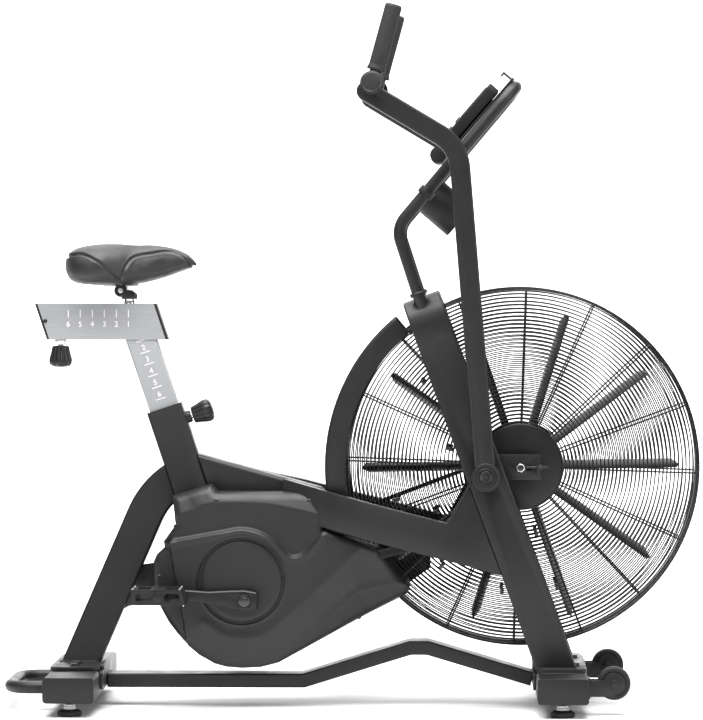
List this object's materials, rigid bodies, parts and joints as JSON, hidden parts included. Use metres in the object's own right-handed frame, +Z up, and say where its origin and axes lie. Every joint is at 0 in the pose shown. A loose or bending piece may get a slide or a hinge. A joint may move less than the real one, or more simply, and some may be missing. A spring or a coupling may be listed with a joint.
{
  "type": "air bike",
  "caption": "Fan-resistance exercise bike with a caged fan, pedals, swinging handlebars, a sliding saddle, a tilted console and transport wheels.",
  "frame": {"origin": "middle of the bounding box seen from above, on the floor", "axes": "+X towards the fan and the transport wheels, +Y to the rider's left, +Z up"},
  "size_m": [1.382, 0.6, 1.3929],
  "materials": {
    "frame_paint": "satin",
    "cage_paint": "satin",
    "fan_paint": "satin",
    "black_plastic": "matte",
    "button_plastic": "matte",
    "knob_plastic": "semi-gloss, ribbed",
    "brushed_steel": "brushed",
    "chrome": "polished",
    "plated_steel": "satin",
    "crank_alloy": "black, satin",
    "chain_steel": "oiled",
    "pedal_plastic": "matte",
    "grip_rubber": "matte",
    "foot_rubber": "matte",
    "wheel_tyre": "matte",
    "vinyl": "grained, semi-matte"
  },
  "bodies": {
    "frame": {"axle_plates": "plated_steel", "base_rail": "frame_paint", "bearings": "plated_steel", "bottle_bracket": "black_plastic", "bottle_holder": "black_plastic", "cage_rings": "cage_paint", "chain_guard": "black_plastic", "console_body": "black_plastic", "console_stem": "frame_paint", "device_holder": "black_plastic", "drive_chain": "chain_steel", "fan_axle": "plated_steel", "fan_shroud": "black_plastic", "fork_crown": "frame_paint", "front_stabilizer": "frame_paint", "grab_handle": "frame_paint", "left_cage_frame": "cage_paint", "left_casing": "black_plastic", "left_fork_leg": "frame_paint", "left_side_beam": "frame_paint", "rear_leg": "frame_paint", "rear_stabilizer": "frame_paint", "right_cage_frame": "cage_paint", "right_casing": "black_plastic", "right_fork_leg": "frame_paint", "right_side_beam": "frame_paint", "seat_bushing": "black_plastic", "seat_tube": "frame_paint", "stabilizer_end_caps": "black_plastic", "top_tube": "frame_paint"},
    "crank": {"crank_axle": "plated_steel", "crank_arms": "crank_alloy", "chainring": "chain_steel"},
    "right_pedal": {"right_pedal": "pedal_plastic"},
    "left_pedal": {"left_pedal": "pedal_plastic"},
    "fan": {"fan_wheel": "fan_paint"},
    "right_handlebar": {"right_handlebar": "frame_paint", "right_grips": "grip_rubber"},
    "left_handlebar": {"left_handlebar": "frame_paint", "left_grips": "grip_rubber"},
    "right_link_rod": {"right_link_rod": "frame_paint"},
    "left_link_rod": {"left_link_rod": "frame_paint"},
    "seat_post": {"seat_post": "brushed_steel", "seat_rail": "brushed_steel", "rail_end_caps": "black_plastic"},
    "seat_slider": {"seat_slider": "chrome"},
    "saddle": {"saddle": "vinyl", "saddle_support": "chrome"},
    "height_knob": {"height_knob": "knob_plastic"},
    "fore_aft_knob": {"fore_aft_knob": "knob_plastic"},
    "right_wheel": {"right_wheel": "wheel_tyre"},
    "left_wheel": {"left_wheel": "wheel_tyre"},
    "rear_right_foot": {"rear_right_foot": "foot_rubber"},
    "rear_left_foot": {"rear_left_foot": "foot_rubber"},
    "front_right_foot": {"front_right_foot": "foot_rubber"},
    "front_left_foot": {"front_left_foot": "foot_rubber"},
    "console_button_1": {"console_button_1": "button_plastic"},
    "console_button_2": {"console_button_2": "button_plastic"},
    "console_button_3": {"console_button_3": "button_plastic"},
    "console_button_4": {"console_button_4": "button_plastic"}
  },
  "joints": [
    {"name": "crank_spin", "type": "hinge", "parent": "frame", "child": "crank", "pos_m": [-0.213, 0, 0.218], "axis": [0, 1, 0], "continuous": true},
    {"name": "fan_spin", "type": "hinge", "parent": "frame", "child": "fan", "pos_m": [0.332, 0, 0.48], "axis": [0, 1, 0], "continuous": true},
    {"name": "right_pedal_spin", "type": "hinge", "parent": "crank", "child": "right_pedal", "pos_m": [-0.37747, -0.187, 0.23123], "axis": [0, 1, 0], "continuous": true},
    {"name": "left_pedal_spin", "type": "hinge", "parent": "crank", "child": "left_pedal", "pos_m": [-0.04853, 0.187, 0.20477], "axis": [0, 1, 0], "continuous": true},
    {"name": "right_swing", "type": "hinge", "parent": "frame", "child": "right_handlebar", "pos_m": [0.2635, 0, 0.4655], "axis": [0, 1, 0], "range_deg": [-11, 11]},
    {"name": "left_swing", "type": "hinge", "parent": "frame", "child": "left_handlebar", "pos_m": [0.2635, 0, 0.4655], "axis": [0, 1, 0], "range_deg": [-11, 11]},
    {"name": "right_rod_pivot", "type": "hinge", "parent": "right_handlebar", "child": "right_link_rod", "pos_m": [0.28938, 0, 0.36891], "axis": [0, 1, 0], "range_deg": [-11, 11]},
    {"name": "left_rod_pivot", "type": "hinge", "parent": "left_handlebar", "child": "left_link_rod", "pos_m": [0.28938, 0, 0.36891], "axis": [0, 1, 0], "range_deg": [-11, 11]},
    {"name": "seat_height", "type": "slide", "parent": "frame", "child": "seat_post", "axis": [-0.3173, 0, 0.9483], "range_m": [-0.1225, 0]},
    {"name": "seat_fore_aft", "type": "slide", "parent": "seat_post", "child": "seat_slider", "axis": [1, 0, 0], "range_m": [-0.12, 0]},
    {"name": "saddle_tilt", "type": "hinge", "parent": "seat_slider", "child": "saddle", "pos_m": [-0.466, 0, 0.829], "axis": [0, 1, 0], "range_deg": [-8, 8]},
    {"name": "height_pin", "type": "slide", "parent": "frame", "child": "height_knob", "axis": [0.9483, 0, 0.3173], "range_m": [0, 0.01], "stiffness_N_per_m": 900, "springref_m": -0.006},
    {"name": "fore_aft_pin", "type": "slide", "parent": "seat_post", "child": "fore_aft_knob", "axis": [0, 0, -1], "range_m": [0, 0.01], "stiffness_N_per_m": 900, "springref_m": -0.006},
    {"name": "rear_right_foot_height", "type": "slide", "parent": "frame", "child": "rear_right_foot", "axis": [0, 0, -1], "range_m": [0, 0.012]},
    {"name": "rear_left_foot_height", "type": "slide", "parent": "frame", "child": "rear_left_foot", "axis": [0, 0, -1], "range_m": [0, 0.012]},
    {"name": "front_right_foot_height", "type": "slide", "parent": "frame", "child": "front_right_foot", "axis": [0, 0, -1], "range_m": [0, 0.012]},
    {"name": "front_left_foot_height", "type": "slide", "parent": "frame", "child": "front_left_foot", "axis": [0, 0, -1], "range_m": [0, 0.012]},
    {"name": "right_wheel_spin", "type": "hinge", "parent": "frame", "child": "right_wheel", "pos_m": [0.514, -0.19, 0.0625], "axis": [0, 1, 0], "continuous": true},
    {"name": "left_wheel_spin", "type": "hinge", "parent": "frame", "child": "left_wheel", "pos_m": [0.514, 0.19, 0.0625], "axis": [0, 1, 0], "continuous": true},
    {"name": "console_button_1_press", "type": "slide", "parent": "frame", "child": "console_button_1", "axis": [0.7581, 0, -0.6521], "range_m": [0, 0.0015], "stiffness_N_per_m": 600, "springref_m": -0.001},
    {"name": "console_button_2_press", "type": "slide", "parent": "frame", "child": "console_button_2", "axis": [0.7581, 0, -0.6521], "range_m": [0, 0.0015], "stiffness_N_per_m": 600, "springref_m": -0.001},
    {"name": "console_button_3_press", "type": "slide", "parent": "frame", "child": "console_button_3", "axis": [0.7581, 0, -0.6521], "range_m": [0, 0.0015], "stiffness_N_per_m": 600, "springref_m": -0.001},
    {"name": "console_button_4_press", "type": "slide", "parent": "frame", "child": "console_button_4", "axis": [0.7581, 0, -0.6521], "range_m": [0, 0.0015], "stiffness_N_per_m": 600, "springref_m": -0.001}
  ],
  "couplings": [
    {"joint": "fan_spin", "follows": "crank_spin", "ratio": 3},
    {"joint": "left_swing", "follows": "right_swing", "ratio": -1},
    {"joint": "right_rod_pivot", "follows": "right_swing", "ratio": -1},
    {"joint": "left_rod_pivot", "follows": "right_swing", "ratio": 1}
  ]
}
